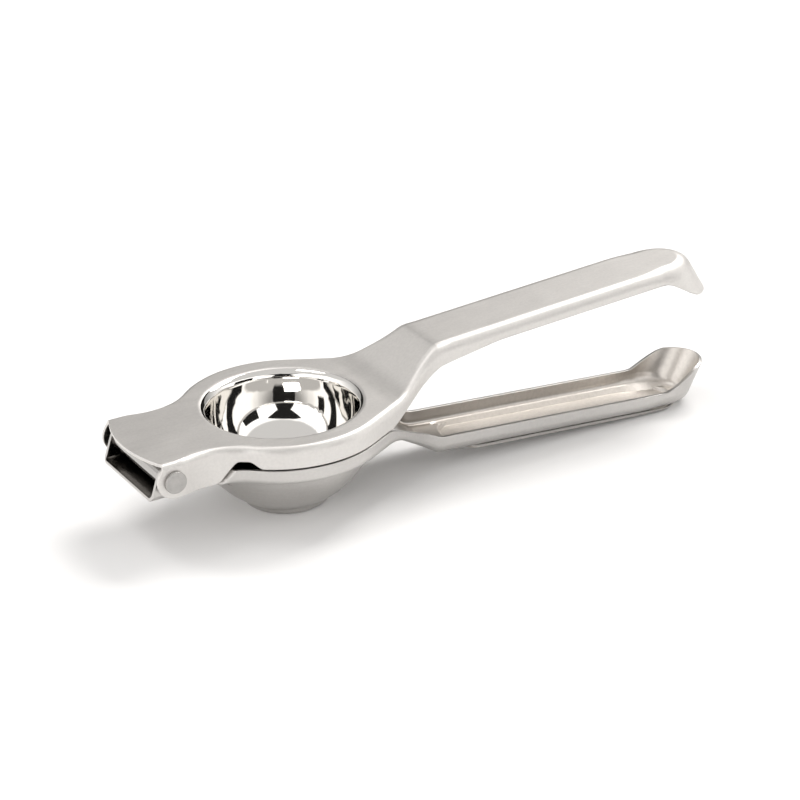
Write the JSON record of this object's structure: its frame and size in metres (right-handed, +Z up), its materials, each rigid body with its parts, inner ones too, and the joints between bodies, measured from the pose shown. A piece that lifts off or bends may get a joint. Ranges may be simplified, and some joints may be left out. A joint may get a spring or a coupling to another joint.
{
  "type": "hand citrus press",
  "caption": "Two-handled pressed-steel citrus press with a domed press cup that swings into a perforated bowl on a riveted hinge.",
  "frame": {"origin": "centre of the object's box on the table it rests on, with the press closed", "axes": "+X from the rivet towards the ends of the handles, +Y across the handles along the rivet, +Z up from the table"},
  "size_m": [0.2206, 0.0686, 0.0546],
  "materials": {
    "lever_steel": "satin polished stainless sheet, bright mirror polish in the cup",
    "bowl_steel": "satin polished stainless sheet",
    "rivet_steel": "turned head with fine pits",
    "sleeve_steel": "polished tube"
  },
  "bodies": {
    "tray": {"bowl_lever": "bowl_steel", "spacer_sleeve": "sleeve_steel"},
    "press": {"press_lever": "lever_steel", "hinge_rivet": "rivet_steel"}
  },
  "joints": [
    {"name": "lever_hinge", "type": "hinge", "parent": "tray", "child": "press", "pos_m": [-0.10226, 0, 0.02633], "axis": [0, -1, 0], "range_deg": [0, 68]}
  ]
}
